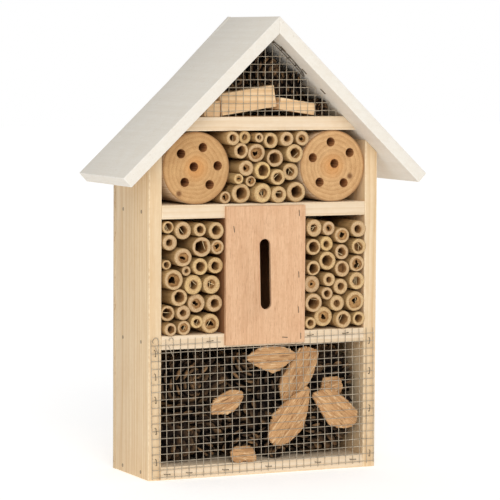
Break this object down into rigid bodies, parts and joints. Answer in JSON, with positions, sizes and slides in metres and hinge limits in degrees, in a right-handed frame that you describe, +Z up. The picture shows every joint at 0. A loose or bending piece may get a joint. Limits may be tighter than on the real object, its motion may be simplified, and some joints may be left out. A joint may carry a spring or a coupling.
{
  "type": "insect hotel",
  "caption": "Free-standing wooden insect hotel: gabled house with drilled logs, bamboo tubes, a slotted butterfly chamber, meshed pine cones and a wall hanger.",
  "frame": {"origin": "centre of the house's footprint on the surface it stands on", "axes": "+Z up, open front towards -Y, +X to the right seen from the front"},
  "size_m": [0.253, 0.0993, 0.3504],
  "materials": {
    "side_wood": "sanded bare pine with long upright grain",
    "shelf_wood": "sanded bare pine, lengthwise grain",
    "back_plywood": "bare thin plywood",
    "roof_paint": "matt off-white paint on planed wood",
    "front_plywood": "bare thin plywood with sawn edges",
    "log_wood": "sawn end grain with rings, drilled",
    "offcut_wood": "sawn softwood offcut",
    "pine_cone": "dark dry cone scales",
    "wood_chip": "split orange-brown bark and wood chip",
    "bamboo": "dry cane, cut ends, semi-matt skin",
    "galvanised_wire": "dull galvanised wire",
    "staple_steel": "bright staple wire",
    "nail_steel": "plain steel pin head",
    "zinc_plate": "zinc-plated sheet and wire"
  },
  "bodies": {
    "house": {"left_side_board": "side_wood", "right_side_board": "side_wood", "bottom_board": "shelf_wood", "lower_shelf": "shelf_wood", "middle_shelf": "shelf_wood", "top_shelf": "shelf_wood", "back_panel": "back_plywood", "left_divider": "shelf_wood", "right_divider": "shelf_wood", "left_roof_board": "roof_paint", "right_roof_board": "roof_paint", "front_panel": "front_plywood", "left_log": "log_wood", "right_log": "log_wood", "large_attic_block": "offcut_wood", "small_attic_block": "offcut_wood", "right_attic_block": "offcut_wood", "attic_cones": "pine_cone", "front_pine_cones": "pine_cone", "rear_pine_cones": "pine_cone", "front_wood_chips": "wood_chip", "rear_wood_chips": "wood_chip", "lower_mesh_uprights": "galvanised_wire", "lower_mesh_crosswires": "galvanised_wire", "attic_mesh": "galvanised_wire", "lower_mesh_staples": "staple_steel", "attic_mesh_staples": "staple_steel", "panel_staples": "staple_steel", "side_nails": "nail_steel", "roof_nails": "roof_paint", "back_nails": "nail_steel", "hanger_strap": "zinc_plate", "hanger_screws": "zinc_plate", "upper_bamboo_1": "bamboo", "upper_bamboo_2": "bamboo", "upper_bamboo_3": "bamboo", "upper_bamboo_4": "bamboo", "upper_bamboo_5": "bamboo", "upper_bamboo_6": "bamboo", "upper_bamboo_7": "bamboo", "left_bamboo_1": "bamboo", "left_bamboo_2": "bamboo", "left_bamboo_3": "bamboo", "left_bamboo_4": "bamboo", "left_bamboo_5": "bamboo", "left_bamboo_6": "bamboo", "left_bamboo_7": "bamboo", "left_bamboo_8": "bamboo", "right_bamboo_1": "bamboo", "right_bamboo_2": "bamboo", "right_bamboo_3": "bamboo", "right_bamboo_4": "bamboo", "right_bamboo_5": "bamboo", "right_bamboo_6": "bamboo", "right_bamboo_7": "bamboo", "right_bamboo_8": "bamboo"},
    "hanger_ring": {"hanger_ring": "zinc_plate"}
  },
  "joints": [
    {"name": "hanger_ring_swing", "type": "hinge", "parent": "house", "child": "hanger_ring", "pos_m": [0, 0.03768, 0.292], "axis": [1, 0, 0], "range_deg": [0, 175]}
  ]
}
